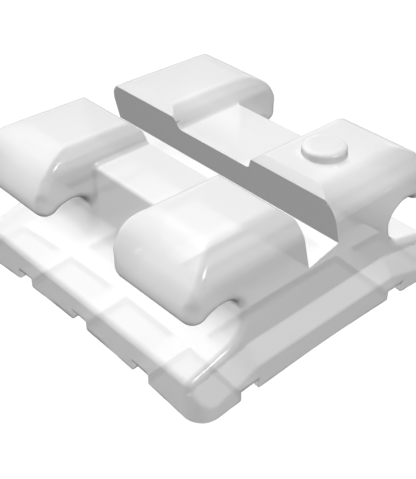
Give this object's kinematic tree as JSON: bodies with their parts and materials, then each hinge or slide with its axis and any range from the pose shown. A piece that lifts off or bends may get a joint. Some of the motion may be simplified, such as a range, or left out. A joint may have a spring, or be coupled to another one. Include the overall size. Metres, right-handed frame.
{
  "type": "orthodontic bracket",
  "caption": "Twin ceramic orthodontic bracket with a torqued archwire slot, tie wings and a hollowed, grooved bonding base.",
  "frame": {"origin": "middle of the bonding base, level with its lowest pads", "axes": "+X along the archwire slot, +Y across it, +Z out from the tooth"},
  "size_m": [0.004, 0.0038, 0.0019],
  "materials": {
    "ceramic": "glossy, slightly translucent white ceramic"
  },
  "bodies": {
    "root": {"bracket": "ceramic"}
  },
  "joints": []
}
